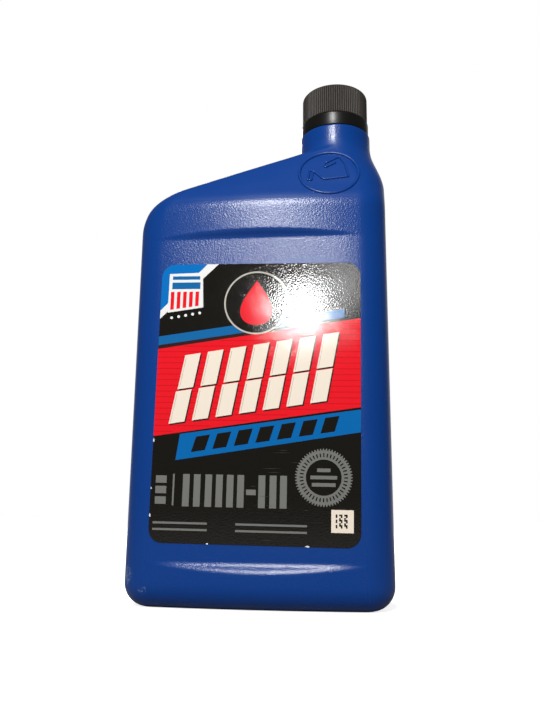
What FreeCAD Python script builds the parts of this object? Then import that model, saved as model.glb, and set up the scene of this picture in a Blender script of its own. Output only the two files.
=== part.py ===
"""A one quart motor oil bottle: a blow-moulded hollow bottle with its neck set to one side,
a ribbed screw cap with its foam liner, the tamper band below it, and the front label.

Millimetres. +Z is up, +X runs to the neck's side, the label faces -Y. The origin is the
middle of the flat base, on the surface that the bottle stands on."""

import FreeCAD, Part
import math
import os

import Sketcher

# Driving sizes: each can be changed by itself
SIZES = {
    # the moulded body
    "base_width": 108.2,
    "top_width": 107.3,
    "body_depth": 58.0,
    "crown": 2.0,
    "corner_radius": 12.5,
    "base_radius": 9.5,
    "wall": 1.0,
    # the shoulder
    "crease_height": 167.6,
    "crease_blend": 3.5,
    "ridge_corner_rise": 3.3,
    "ridge_corner_radius": 21.0,
    "side_fall_rise": 9.4,
    "neck_root_rise": 29.2,
    "neck_flare": 6.2,
    # the neck and its finish
    "neck_setback": 5.45,
    "neck_diameter": 32.2,
    "neck_length": 11.4,
    "neck_edge": 0.6,
    "finish_diameter": 24.8,
    "bore_diameter": 21.4,
    "finish_height": 18.0,
    "mouth_chamfer": 0.5,
    "bead_diameter": 27.8,
    "bead_lift": 2.7,
    "bead_thickness": 1.6,
    # the label panels, cut flat into the crowned front and back
    "panel_bottom": 17.7,
    "panel_top_gap": 16.6,
    "panel_depth": 1.9,
    "panel_ramp": 2.8,
    # the hollow pushed up into the base
    "pushup_margin": 12.0,
    "pushup_slope": 4.0,
    "pushup_depth": 2.4,
    "pushup_corner": 6.0,
    # the raised ring on the front of the shoulder
    "ring_setback": 2.6,
    "ring_lift": 13.5,
    "ring_diameter": 26.7,
    "ring_line": 1.2,
    "ring_rise": 0.5,
    # the tamper band left on the neck
    "band_diameter": 31.0,
    "band_height": 6.2,
    "band_wall": 1.1,
    "band_seat": 0.3,
    "grip_bore": 25.6,
    "grip_thickness": 1.6,
    "break_gap": 0.3,
    # the cap and its foam liner
    "cap_diameter": 30.2,
    "cap_wall": 1.2,
    "cap_top": 1.4,
    "cap_edge": 1.2,
    "rib_depth": 0.35,
    "liner_thickness": 1.0,
    "liner_diameter": 27.0,
    "liner_gap": 0.1,
    # the label
    "label_width": 83.1,
    "label_height": 114.2,
    "label_lift": 7.0,
    "label_tilt": 0.7,
    "label_corner": 5.6,
    "label_thickness": 0.15,
}
RIB_COUNT = 90

# Level sections of the moulded form: how many up the base's rounding, round the shoulder's
# corner and up its ridge
FOOT_STATIONS = 5
ARC_STATIONS = 4
RIDGE_STATIONS = 4
# How nearly round the section is where it meets the neck
ROUND_SHARE = 0.985
# How far a cutting shape reaches past what it cuts
OVERCUT = 5.0

doc = FreeCAD.newDocument("oil_bottle")


def fill_sheet(name, texts):
    """Make a spreadsheet with one named value a row."""
    sheet = doc.addObject("Spreadsheet::Sheet", name)
    for row, (alias, text) in enumerate(texts.items(), start=1):
        sheet.set(f"A{row}", alias)
        sheet.set(f"B{row}", text)
        sheet.setAlias(f"B{row}", alias)
    doc.recompute()
    return sheet


def outline_formulas():
    """Formulas for the outline's fixed points, from the driving sizes."""
    return {
        "half_base": "=sizes.base_width / 2",
        "half_top": "=sizes.top_width / 2",
        "half_depth": "=sizes.body_depth / 2",
        "panel_face": "=half_depth - sizes.panel_depth",
        "neck_radius": "=sizes.neck_diameter / 2",
        "neck_offset": "=half_top - sizes.neck_setback - neck_radius",
        "neck_left": "=neck_offset - neck_radius",
        "neck_right": "=neck_offset + neck_radius",
        "ridge_corner": "=sizes.crease_height + sizes.ridge_corner_rise",
        "side_fall": "=sizes.crease_height + sizes.side_fall_rise",
        "neck_root": "=sizes.crease_height + sizes.neck_root_rise",
        "flare_end": "=neck_root + sizes.neck_flare",
        "neck_top": "=neck_root + sizes.neck_length",
        "bead_low": "=neck_top + sizes.bead_lift",
        "mouth": "=neck_top + sizes.finish_height",
        "lean": "=(half_depth - neck_radius) / (neck_root - sizes.crease_height)",
        "crown_half": "=half_base - sizes.corner_radius",
        "crown_radius": "=(crown_half ^ 2 + sizes.crown ^ 2) / (2 * sizes.crown)",
        "ridge_slope": "=(neck_root - ridge_corner) / (half_top + neck_left)",
        "ridge_turn": "=90 - atan(ridge_slope) / 1deg",
        "arc_low": "=ridge_corner - sizes.ridge_corner_radius * tan(ridge_turn / 2)",
        "panel_top": "=sizes.crease_height - sizes.panel_top_gap",
        "ring_offset": "=neck_offset - sizes.ring_setback",
        "ring_height": "=sizes.crease_height + sizes.ring_lift",
        "label_middle": "=sizes.panel_bottom + sizes.label_lift + sizes.label_height / 2",
        "band_low": "=neck_top + sizes.band_seat",
        "cap_low": "=band_low + sizes.band_height + sizes.break_gap",
        "liner_low": "=mouth + sizes.liner_gap",
        "cap_inside": "=liner_low + sizes.liner_thickness + sizes.liner_gap",
    }


def body_stations():
    """Formulas for the base's rounding, where the trunk starts, and its pushed-up hollow.

    The rounding is a quarter circle: at the turn t its section stands r (1 - cos t) high
    and r (1 - sin t) in from the trunk's side."""
    table = {}
    places = {
        "hollow_low": ("0", "sizes.pushup_margin"),
        "hollow_high": ("sizes.pushup_depth", "(sizes.pushup_margin + sizes.pushup_slope)"),
    }
    for k in range(FOOT_STATIONS):
        turn = f"(90 * {k} / {FOOT_STATIONS - 1})"
        places[f"foot_{k}"] = (
            f"sizes.base_radius * (1 - cos{turn})",
            f"(sizes.base_radius * (1 - sin{turn}))",
        )
        table[f"wall_up_foot_{k}"] = f"=cos{turn}"
        table[f"wall_in_foot_{k}"] = f"=sin{turn}"
    for key, (height, margin) in places.items():
        table[f"height_{key}"] = f"={height}"
        table[f"left_{key}"] = f"={margin} - half_base"
        table[f"right_{key}"] = f"=half_base - {margin}"
        table[f"depth_{key}"] = f"=half_depth - {margin}"
        corner = f"sizes.corner_radius - {margin}" if key.startswith("foot") else "sizes.pushup_corner"
        table[f"corner_{key}"] = f"={corner}"
    return table


def shoulder_places():
    """Formulas for the height and the left end of each section of the shoulder.

    Its far corner is an arc, and the ridge from there to the neck is a straight line."""
    places = []
    for k in range(ARC_STATIONS):
        turn = f"(ridge_turn * {k} / {ARC_STATIONS - 1})"
        places.append((
            f"=arc_low + sizes.ridge_corner_radius * sin{turn}",
            f"=sizes.ridge_corner_radius * (1 - cos{turn}) - half_top",
        ))
    end = ARC_STATIONS - 1
    for k in range(1, RIDGE_STATIONS + 1):
        share = f"{k} / {RIDGE_STATIONS}"
        places.append((
            f"=height_{end} + (neck_root - height_{end}) * {share}",
            f"=left_{end} + (neck_left - left_{end}) * {share}",
        ))
    places.append(("=flare_end", "=neck_left"))
    return places


def shoulder_stations(places):
    """Formulas for the right end, the depth and the corners of each section.

    The neck's side falls in along an S, the front and back lean in along a line with a
    soft bend at its foot, and the corners grow until the section is the neck's circle."""
    table = {}
    for k, (height, left) in enumerate(places):
        rise = f"rise_{k}"
        fall = f"fall_{k}"
        blend = "sizes.crease_blend"
        table[f"height_{k}"] = height
        table[f"left_{k}"] = left
        table[rise] = f"=height_{k} - sizes.crease_height"
        table[fall] = (
            f"=max(0; min(1; (height_{k} - side_fall)"
            " / (flare_end - side_fall)))"
        )
        table[f"right_{k}"] = f"=half_top + (neck_right - half_top) * {fall} ^ 2 * (3 - 2 * {fall})"
        table[f"depth_{k}"] = (
            f"={rise} < {blend} ? half_depth - lean * max(0; {rise} + {blend}) ^ 2 / (4 * {blend})"
            f" : max(neck_radius; half_depth - lean * {rise})"
        )
        table[f"corner_{k}"] = (
            f"=sizes.corner_radius + (neck_radius - sizes.corner_radius) * {ROUND_SHARE}"
            f" * max(0; min(1; {rise} / sizes.neck_root_rise))"
        )
    return table


sizes = fill_sheet("sizes", {alias: str(value) for alias, value in SIZES.items()})
shoulder = shoulder_places()
stations = fill_sheet(
    "stations", {**outline_formulas(), **body_stations(), **shoulder_stations(shoulder)}
)


def value_of(text):
    """The number behind the name of one value, such as sizes.wall or stations.lean."""
    sheet, alias = text.split(".")
    return float({"sizes": sizes, "stations": stations}[sheet].get(alias))


def plane_of(body, role):
    """One of a body's own origin planes or axes, found by its role."""
    for feature in body.Origin.OriginFeatures:
        if feature.Role == role:
            return feature
    raise ValueError(role)


def new_body(label, role_offsets=None):
    """An empty body, with its place bound to the sheets."""
    body = doc.addObject("PartDesign::Body", label)
    body.Label = label
    for axis, text in (role_offsets or {}).items():
        body.setExpression(f".Placement.Base.{axis}", text)
    return body


def new_sketch(body, name, role, offset=None):
    """A sketch on one of the body's own planes, moved off it by a bound offset."""
    sketch = body.newObject("Sketcher::SketchObject", name)
    sketch.AttachmentSupport = (plane_of(body, role), [""])
    sketch.MapMode = "FlatFace"
    if offset is not None:
        sketch.setExpression(".AttachmentOffset.Base.z", offset)
    return sketch


def bind(sketch, text, *constraint):
    """Add a dimension to a sketch and tie it to the sheets."""
    index = sketch.addConstraint(Sketcher.Constraint(*constraint))
    sketch.setExpression(f"Constraints[{index}]", text)


def arc(center, radius, start, end):
    """An arc in the sketch's plane, between two angles in radians."""
    circle = Part.Circle(FreeCAD.Vector(*center, 0), FreeCAD.Vector(0, 0, 1), radius)
    return Part.ArcOfCircle(circle, start, end)


def line(start, end):
    """A straight edge in the sketch's plane."""
    return Part.LineSegment(FreeCAD.Vector(*start, 0), FreeCAD.Vector(*end, 0))


def polygon_sketch(sketch, corners):
    """Close a polygon through corners, each given by two bound texts.

    Each corner is (number, text) for each of its two places in the sketch."""
    first = sketch.GeometryCount
    count = len(corners)
    for k in range(count):
        (x0, _), (y0, _) = corners[k]
        (x1, _), (y1, _) = corners[(k + 1) % count]
        sketch.addGeometry(line((x0, y0), (x1, y1)))
    for k in range(count):
        sketch.addConstraint(
            Sketcher.Constraint("Coincident", first + k, 2, first + (k + 1) % count, 1)
        )
    for k, ((x, x_text), (y, y_text)) in enumerate(corners):
        bind(sketch, x_text, "DistanceX", -1, 1, first + k, 1, x)
        bind(sketch, y_text, "DistanceY", -1, 1, first + k, 1, y)


def term(*parts):
    """A number and its text, as a sum of signed names: term("+sizes.wall", "-sizes.crown")."""
    number = 0.0
    for part in parts:
        sign = -1.0 if part[0] == "-" else 1.0
        name = part[1:]
        factor = 1.0
        if "*" in name:
            share, name = name.split("*")
            factor = float(share)
        number += sign * factor * value_of(name)
    text = " ".join(f"{part[0]} {part[1:]}" for part in parts)
    return number, text.removeprefix("+ ")


def crowned_section(body, key, inset):
    """One level section, with straight ends, round corners, and a crowned front and back.

    inset is how many walls the section is drawn in: 0 outside, 1 for the hollow, and -1
    where the hollow's floor stands a wall above the pushed-up base. Over the base's
    rounding the wall is measured square to it, and elsewhere level and straight down."""
    if key.startswith("foot"):
        inward = f"{inset} * sizes.wall * stations.wall_in_{key}"
        upward = f"{inset} * sizes.wall * stations.wall_up_{key}"
        drawn = inset * value_of("sizes.wall") * value_of(f"stations.wall_in_{key}")
    else:
        inward = f"{inset} * sizes.wall"
        upward = f"-{inset} * sizes.wall"
        drawn = inset * value_of("sizes.wall")
    left = value_of(f"stations.left_{key}") + drawn
    right = value_of(f"stations.right_{key}") - drawn
    depth = value_of(f"stations.depth_{key}") - drawn
    corner = value_of(f"stations.corner_{key}") - drawn
    crown = value_of("stations.crown_radius")
    middle = (left + right) / 2
    reach = (right - left) / 2 - corner
    crown_y = depth - crown
    corner_y = crown_y + math.sqrt((crown - corner) ** 2 - reach ** 2)
    lean = math.atan2(corner_y - crown_y, reach)
    sketch = new_sketch(
        body, f"{body.Name}_{key}", "XY_Plane", f"stations.height_{key} + ({upward})"
    )
    sketch.addGeometry([
        line((right, -corner_y), (right, corner_y)),
        arc((right - corner, corner_y), corner, 0, lean),
        arc((middle, crown_y), crown, lean, math.pi - lean),
        arc((left + corner, corner_y), corner, math.pi - lean, math.pi),
        line((left, corner_y), (left, -corner_y)),
        arc((left + corner, -corner_y), corner, math.pi, math.pi + lean),
        arc((middle, -crown_y), crown, math.pi + lean, 2 * math.pi - lean),
        arc((right - corner, -corner_y), corner, 2 * math.pi - lean, 2 * math.pi),
    ])
    edges = sketch.GeometryCount
    for k in range(edges):
        sketch.addConstraint(Sketcher.Constraint("Tangent", k, 2, (k + 1) % edges, 1))
    for end in (0, 4):
        sketch.addConstraint(Sketcher.Constraint("Symmetric", end, 1, end, 2, -1))
    for other in (3, 5, 7):
        sketch.addConstraint(Sketcher.Constraint("Equal", 1, other))
    sketch.addConstraint(Sketcher.Constraint("Equal", 2, 6))
    sketch.addConstraint(Sketcher.Constraint("Horizontal", 1, 3, 3, 3))
    bind(sketch, f"stations.right_{key} - ({inward})", "DistanceX", -1, 1, 0, 1, right)
    bind(sketch, f"stations.left_{key} + {inward}", "DistanceX", -1, 1, 4, 1, left)
    bind(sketch, f"stations.corner_{key} - ({inward})", "Radius", 1, corner)
    bind(sketch, "stations.crown_radius", "Radius", 2, crown)
    bind(
        sketch,
        f"stations.depth_{key} - ({inward}) - stations.crown_radius",
        "DistanceY", -1, 1, 2, 3, crown_y,
    )
    return sketch


def loft(body, kind, name, sections):
    """A ruled loft through level sections, added to the body or cut from it."""
    feature = body.newObject(f"PartDesign::{kind}", name)
    feature.Profile = sections[0]
    feature.Sections = sections[1:]
    feature.Ruled = True
    doc.recompute()
    return feature


def turned(body, name, corners):
    """Revolve a closed profile of (radius, height) corners about the neck's axis."""
    sketch = new_sketch(body, f"{name}_profile", "XZ_Plane")
    polygon_sketch(sketch, corners)
    feature = body.newObject("PartDesign::Revolution", name)
    feature.Profile = sketch
    feature.ReferenceAxis = (plane_of(body, "Z_Axis"), [""])
    feature.Angle = 360
    doc.recompute()
    return feature


def round_edges(body, base, name, radius, test):
    """Fillet the edges of the last feature that pass a test, with a bound radius."""
    edges = [
        f"Edge{number}"
        for number, edge in enumerate(base.Shape.Edges, start=1)
        if test(edge.BoundBox)
    ]
    feature = body.newObject("PartDesign::Fillet", name)
    feature.Base = (base, edges)
    feature.setExpression("Radius", radius)
    doc.recompute()
    return feature


def moulded_form(name, inset):
    """The bottle's outside, or its hollow with inset 1: trunk, shoulder, base and panels."""
    body = new_body(name)
    feet = [crowned_section(body, f"foot_{k}", inset) for k in range(FOOT_STATIONS)]
    levels = [crowned_section(body, str(k), inset) for k in range(len(shoulder))]
    loft(body, "AdditiveLoft", f"{name}_trunk", [*feet, levels[0]])
    loft(body, "AdditiveLoft", f"{name}_shoulder", levels)
    pushup = [crowned_section(body, key, -inset) for key in ("hollow_low", "hollow_high")]
    loft(body, "SubtractiveLoft", f"{name}_pushup", pushup)
    cut_panels(body, name, inset)
    return body


def cut_panels(body, name, inset):
    """Cut the front and the back flat between two ramps, over the label's height."""
    sketch = new_sketch(body, f"{name}_panel_profile", "YZ_Plane")
    reach = OVERCUT
    growth = f"(1 + {reach} / sizes.panel_depth)"
    ramp = value_of("sizes.panel_ramp") * (1 + reach / value_of("sizes.panel_depth"))
    wall = inset * value_of("sizes.wall")
    face = value_of("stations.panel_face") - wall
    outer = value_of("stations.half_depth") - wall + reach
    low = value_of("sizes.panel_bottom")
    high = value_of("stations.panel_top")
    face_text = f"(stations.panel_face - {inset} * sizes.wall)"
    outer_text = f"(stations.half_depth - {inset} * sizes.wall + {reach})"
    for side, sign in ((1, ""), (-1, "-")):
        polygon_sketch(sketch, [
            ((side * face, sign + face_text), (low, "sizes.panel_bottom")),
            ((side * face, sign + face_text), (high, "stations.panel_top")),
            ((side * outer, sign + outer_text),
             (high + ramp, f"stations.panel_top + sizes.panel_ramp * {growth}")),
            ((side * outer, sign + outer_text),
             (low - ramp, f"sizes.panel_bottom - sizes.panel_ramp * {growth}")),
        ])
    pocket = body.newObject("PartDesign::Pocket", f"{name}_panels")
    pocket.Profile = sketch
    pocket.Type = "Length"
    pocket.Midplane = True
    pocket.setExpression("Length", f"sizes.base_width + {2 * reach}")
    doc.recompute()


def neck_outside():
    """The neck, the locking bead and the finish that the cap screws onto."""
    body = new_body("neck_outside", {"x": "stations.neck_offset"})
    root = term("+0.5*sizes.finish_diameter")
    neck = term("+0.5*sizes.neck_diameter")
    bead = term("+0.5*sizes.bead_diameter")
    axis = (0.0, "0")
    turned(body, "neck_turned", [
        (axis, term("+stations.flare_end")),
        (neck, term("+stations.flare_end")),
        (neck, term("+stations.neck_top", "-sizes.neck_edge")),
        (term("+0.5*sizes.neck_diameter", "-sizes.neck_edge"), term("+stations.neck_top")),
        (root, term("+stations.neck_top")),
        (root, term("+stations.bead_low")),
        (bead, term("+stations.bead_low")),
        (bead, term("+stations.bead_low", "+0.5*sizes.bead_thickness")),
        (root, term("+stations.bead_low", "+sizes.bead_thickness")),
        (root, term("+stations.mouth", "-sizes.mouth_chamfer")),
        (term("+0.5*sizes.finish_diameter", "-sizes.mouth_chamfer"), term("+stations.mouth")),
        (axis, term("+stations.mouth")),
    ])
    return body


def neck_inside():
    """The hollow of the neck and the bore up to the mouth."""
    body = new_body("neck_inside", {"x": "stations.neck_offset"})
    hollow = term("+0.5*sizes.neck_diameter", "-sizes.wall")
    bore = term("+0.5*sizes.bore_diameter")
    low = term("+stations.flare_end", "-sizes.wall")
    step = term("+stations.neck_top", "-sizes.wall")
    mouth, mouth_text = term("+stations.mouth")
    high = (mouth + OVERCUT, f"{mouth_text} + {OVERCUT}")
    axis = (0.0, "0")
    turned(body, "bore_turned", [
        (axis, low), (hollow, low), (hollow, step), (bore, step), (bore, high), (axis, high),
    ])
    return body


def raised_ring(outside):
    """The ring raised on the front of the shoulder.

    A short tube stands square to the leaning front, and what it shares with the form
    moved forward is the ring."""
    body = new_body("ring_tube", {
        "x": "stations.ring_offset",
        "y": "stations.lean * sizes.ring_lift - stations.half_depth",
        "z": "stations.ring_height",
    })
    body.Placement.Rotation = FreeCAD.Rotation(FreeCAD.Vector(1, 0, 0), 90)
    body.setExpression(".Placement.Rotation.Angle", "90 deg - atan(stations.lean)")
    sketch = new_sketch(body, "ring_profile", "XY_Plane")
    outer = value_of("sizes.ring_diameter") / 2
    inner = outer - value_of("sizes.ring_line")
    for k, (radius, text) in enumerate((
        (outer, "sizes.ring_diameter / 2"),
        (inner, "sizes.ring_diameter / 2 - sizes.ring_line"),
    )):
        sketch.addGeometry(Part.Circle(FreeCAD.Vector(), FreeCAD.Vector(0, 0, 1), radius))
        sketch.addConstraint(Sketcher.Constraint("Coincident", k, 3, -1, 1))
        bind(sketch, text, "Radius", k, radius)
    pad = body.newObject("PartDesign::Pad", "ring_pad")
    pad.Profile = sketch
    pad.Type = "Length"
    pad.Midplane = True
    pad.setExpression("Length", f"sizes.ring_rise + {2 * OVERCUT}")
    doc.recompute()
    forward = doc.addObject("Part::Feature", "form_moved_forward")
    forward.Shape = outside.Shape
    forward.Placement.Base.y = -value_of("sizes.ring_rise")
    ring = doc.addObject("Part::Common", "raised_ring")
    ring.Base = body
    ring.Tool = forward
    doc.recompute()
    return ring


def bottle():
    """The moulded bottle: its outside with the neck and ring, less its hollow."""
    outside = moulded_form("outside", 0)
    hollow = moulded_form("hollow", 1)
    solid = doc.addObject("Part::MultiFuse", "bottle_solid")
    solid.Shapes = [outside, neck_outside(), raised_ring(outside)]
    space = doc.addObject("Part::MultiFuse", "bottle_space")
    space.Shapes = [hollow, neck_inside()]
    shell = doc.addObject("Part::Cut", "bottle")
    shell.Base = solid
    shell.Tool = space
    doc.recompute()
    return shell


def tamper_band():
    """The ring that stays on the neck, with the lip that grips under the locking bead."""
    body = new_body("tamper_band", {"x": "stations.neck_offset", "z": "stations.band_low"})
    outer = term("+0.5*sizes.band_diameter")
    inner = term("+0.5*sizes.band_diameter", "-sizes.band_wall")
    grip = term("+0.5*sizes.grip_bore")
    low = (0.0, "0")
    turned(body, "band_turned", [
        (grip, low),
        (outer, low),
        (outer, term("+sizes.band_height")),
        (inner, term("+sizes.band_height")),
        (inner, term("+sizes.grip_thickness")),
        (grip, term("+sizes.grip_thickness")),
    ])
    return body


def cap():
    """The screw cap, with fine ribs cut down its side and two bevels round its top edge."""
    body = new_body("cap", {"x": "stations.neck_offset", "z": "stations.cap_low"})
    outer = term("+0.5*sizes.cap_diameter")
    inner = term("+0.5*sizes.cap_diameter", "-sizes.cap_wall")
    roof = ("+stations.cap_inside", "-stations.cap_low")
    top = (*roof, "+sizes.cap_top")
    axis = (0.0, "0")
    low = (0.0, "0")
    turned(body, "cap_turned", [
        (inner, low),
        (outer, low),
        (outer, term(*top, "-sizes.cap_edge")),
        (term("+0.5*sizes.cap_diameter", "-0.3*sizes.cap_edge"), term(*top, "-0.3*sizes.cap_edge")),
        (term("+0.5*sizes.cap_diameter", "-sizes.cap_edge"), term(*top)),
        (axis, term(*top)),
        (axis, term(*roof)),
        (inner, term(*roof)),
    ])
    cut_ribs(body)
    return body


def cut_ribs(body):
    """Cut one V groove up the side to the bevels and repeat it round the cap."""
    sketch = new_sketch(body, "rib_profile", "XY_Plane")
    radius = value_of("sizes.cap_diameter") / 2
    half = math.pi * radius / RIB_COUNT / 2
    half_text = f"{math.pi / RIB_COUNT / 2} * sizes.cap_diameter / 2"
    depth = value_of("sizes.rib_depth")
    polygon_sketch(sketch, [
        ((radius - depth, "sizes.cap_diameter / 2 - sizes.rib_depth"), (0.0, "0")),
        ((radius + depth, "sizes.cap_diameter / 2 + sizes.rib_depth"), (-2 * half, f"-2 * {half_text}")),
        ((radius + depth, "sizes.cap_diameter / 2 + sizes.rib_depth"), (2 * half, f"2 * {half_text}")),
    ])
    groove = body.newObject("PartDesign::Pocket", "rib_groove")
    groove.Profile = sketch
    groove.Type = "Length"
    groove.Reversed = True
    groove.setExpression(
        "Length", "stations.cap_inside - stations.cap_low + sizes.cap_top - sizes.cap_edge"
    )
    doc.recompute()
    pattern = body.newObject("PartDesign::PolarPattern", "ribs")
    pattern.Originals = [groove]
    pattern.Axis = (plane_of(body, "Z_Axis"), [""])
    pattern.Angle = 360
    pattern.Occurrences = RIB_COUNT
    body.Tip = pattern
    doc.recompute()


def cap_liner():
    """The foam disc that seals the mouth under the cap's roof."""
    disc = doc.addObject("Part::Cylinder", "cap_liner")
    disc.setExpression("Radius", "sizes.liner_diameter / 2")
    disc.setExpression("Height", "sizes.liner_thickness")
    disc.setExpression(".Placement.Base.x", "stations.neck_offset")
    disc.setExpression(".Placement.Base.z", "stations.liner_low")
    doc.recompute()
    return disc


def front_label():
    """The label: a thin sheet with round corners, flat on the front panel.

    It was put on a little askew, so the sheet is turned about its own middle."""
    body = new_body("front_label", {"z": "stations.label_middle"})
    body.Placement.Rotation = FreeCAD.Rotation(FreeCAD.Vector(0, 1, 0), value_of("sizes.label_tilt"))
    body.setExpression(".Placement.Rotation.Angle", "sizes.label_tilt * 1 deg")
    sketch = new_sketch(body, "label_profile", "XZ_Plane", "stations.panel_face")
    half_width = value_of("sizes.label_width") / 2
    half_height = value_of("sizes.label_height") / 2
    polygon_sketch(sketch, [
        ((-half_width, "-sizes.label_width / 2"), (-half_height, "-sizes.label_height / 2")),
        ((half_width, "sizes.label_width / 2"), (-half_height, "-sizes.label_height / 2")),
        ((half_width, "sizes.label_width / 2"), (half_height, "sizes.label_height / 2")),
        ((-half_width, "-sizes.label_width / 2"), (half_height, "sizes.label_height / 2")),
    ])
    pad = body.newObject("PartDesign::Pad", "label_sheet")
    pad.Profile = sketch
    pad.Type = "Length"
    pad.setExpression("Length", "sizes.label_thickness")
    doc.recompute()
    tiny = 0.01
    round_edges(
        body, pad, "label_corner_round", "sizes.label_corner",
        lambda box: box.XLength < tiny and box.ZLength < tiny,
    )
    return body


def check_objects():
    """Stop if any object of the document failed."""
    for item in doc.Objects:
        if "Invalid" in item.State or "Error" in item.State:
            raise RuntimeError(f"{item.Name} failed: {item.State} {item.getStatusString()}")


def export(parts):
    """Check each piece and write it to its own file."""
    os.makedirs("parts", exist_ok=True)
    for part in parts:
        shape = part.Shape
        if shape.isNull() or not shape.isValid() or not shape.Solids:
            raise RuntimeError(f"{part.Label} has no valid solid")
        shape.exportStep(f"parts/{part.Label}.step")
        print(f"{part.Label}: {shape.Volume / 1000:.2f} cubic centimetres, {len(shape.Solids)} solid")


pieces = [bottle(), tamper_band(), cap(), cap_liner(), front_label()]
doc.recompute()
check_objects()
export(pieces)
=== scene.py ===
# %% [markdown]
# # A one quart oil bottle, dressed for its picture
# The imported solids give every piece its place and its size. Here each of them gets the
# surface that a close look would show: the soft bends of a blow-moulded bottle, the fine ribs
# of its cap, the thread underneath, and a printed label. Lengths are in millimetres, +Z is up,
# +X runs to the neck's side, and the label faces -Y.

# %% Load the frame
import math

import bpy
import numpy as np
from mathutils import Matrix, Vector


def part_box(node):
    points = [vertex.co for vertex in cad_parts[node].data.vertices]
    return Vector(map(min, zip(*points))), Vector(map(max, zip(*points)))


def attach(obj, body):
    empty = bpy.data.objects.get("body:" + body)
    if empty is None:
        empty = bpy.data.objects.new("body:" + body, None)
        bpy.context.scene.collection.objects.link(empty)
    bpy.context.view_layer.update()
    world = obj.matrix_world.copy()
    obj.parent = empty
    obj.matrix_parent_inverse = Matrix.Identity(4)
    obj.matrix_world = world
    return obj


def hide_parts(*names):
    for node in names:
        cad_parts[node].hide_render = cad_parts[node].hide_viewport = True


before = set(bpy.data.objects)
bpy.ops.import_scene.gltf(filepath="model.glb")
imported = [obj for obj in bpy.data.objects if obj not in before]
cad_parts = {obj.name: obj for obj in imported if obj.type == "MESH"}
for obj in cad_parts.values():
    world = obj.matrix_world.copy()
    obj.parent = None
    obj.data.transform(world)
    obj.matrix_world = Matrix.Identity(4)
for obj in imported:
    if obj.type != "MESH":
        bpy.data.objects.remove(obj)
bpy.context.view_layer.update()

MM = 0.001


def box_mm(node):
    """Lowest and highest corner of a solid of the frame, in millimetres."""
    low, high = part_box(node)
    return np.array(low) / MM, np.array(high) / MM


def turned_size(node):
    """Radius, bottom and top of a turned solid of the frame."""
    low, high = box_mm(node)
    return (high[0] - low[0]) / 2, low[2], high[2]


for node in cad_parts:
    low, high = box_mm(node)
    print(node, low.round(2), high.round(2))

# %% [markdown]
# ## From numbers to a mesh
# Nearly every piece here is a stack of rings: a table of points with one row for each level
# and one column for each direction round the piece. Four neighbours in that table make one
# face. Where the rows run outwards and up while the columns run counterclockwise, the faces
# look outwards without any repair afterwards, so the order of the rows is worth some thought.

# %% Rings of points become one closed surface


def link_mesh(name, points, faces):
    """A mesh object from points in millimetres and lists of corner numbers."""
    mesh = bpy.data.meshes.new(name)
    mesh.from_pydata((np.asarray(points) * MM).tolist(), [], faces)
    mesh.update()
    piece = bpy.data.objects.new(name, mesh)
    bpy.context.scene.collection.objects.link(piece)
    return piece


def ring_faces(rows, columns, first=0, closed_rows=False):
    """Corner numbers of the faces between neighbouring rings.

    Corner (r, c) has the number first + r * columns + c, and the columns run all the way
    round, so the last is joined to the first by taking c + 1 modulo the column count."""
    r = np.arange(rows if closed_rows else rows - 1)[:, None]
    c = np.arange(columns)[None, :]
    below = first + r * columns
    above = first + (r + 1) % rows * columns
    after = (c + 1) % columns
    corners = np.stack([below + c, below + after, above + after, above + c], axis=-1)
    return corners.reshape(-1, 4).tolist()


def fan_faces(pole, ring, inward):
    """Triangles between one point and a ring of corner numbers."""
    after = np.roll(ring, -1)
    middle = np.full_like(ring, pole)
    order = [middle, ring, after] if inward else [middle, after, ring]
    return np.stack(order, axis=-1).tolist()


def stacked_rings(name, rings, start=None, end=None):
    """One surface from rings[row, column], closed by a pole before the first row and after
    the last, or joined from the last row back to the first where no pole is given."""
    rows, columns, _ = rings.shape
    points = rings.reshape(-1, 3)
    faces = ring_faces(rows, columns, closed_rows=start is None)
    if start is not None:
        points = np.vstack([points, [start], [end]])
        poles = rows * columns
        faces += fan_faces(poles, np.arange(columns), inward=False)
        faces += fan_faces(poles + 1, np.arange(columns) + (rows - 1) * columns, inward=True)
    return link_mesh(name, points, faces)


def smooth_shade(piece, angle=40.0):
    """Soft shading, but crisp where two faces meet at more than the angle in degrees."""
    mesh = piece.data
    mesh.polygons.foreach_set("use_smooth", np.ones(len(mesh.polygons), dtype=bool))
    mesh.set_sharp_from_angle(angle=math.radians(angle))


def turned_rings(profile, axis_x, angles):
    """Rings from a profile of (radius, height) rows, turned about an upright axis.

    At the angle a the point is (axis + radius cos a, radius sin a, height)."""
    radius, height = np.asarray(profile, dtype=float).T
    x = axis_x + radius[:, None] * np.cos(angles)
    y = radius[:, None] * np.sin(angles)
    z = np.repeat(height[:, None], len(angles), axis=1)
    return np.stack([x, y, z], axis=-1)


def unit_circle(count):
    """Places (cos a, sin a) at even steps of the angle a."""
    turn = np.linspace(0, 2 * math.pi, count, endpoint=False)
    return np.stack([np.cos(turn), np.sin(turn)], axis=1)


def soft_min(a, b, bend):
    """The smaller of two values, rounded where they cross.

    Within one bend of each other the result dips under both by (bend - gap)^2 / (4 bend)."""
    gap = np.abs(a - b)
    return np.minimum(a, b) - np.clip(bend - gap, 0, None) ** 2 / (4 * bend)


def soft_max(a, b, bend):
    """The larger of two values, rounded where they cross."""
    return -soft_min(-a, -b, bend)


# %% [markdown]
# ## The bottle's level sections
# A blow-moulded bottle is best seen as a pile of level slices. Each slice is a rectangle with
# round corners and a slightly crowned front and back. Five numbers say all about it: where it
# ends on the left and on the right, how deep it is, how round its corners are, and how high it
# lies. On the way up, the left end runs round a corner and along a sloping ridge to the neck,
# the right end falls in along an S, and the front and back lean in.

# %% The bottle's own sizes
bottle_high = box_mm("bottle")[1]
cap_low, cap_high = box_mm("cap")

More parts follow.
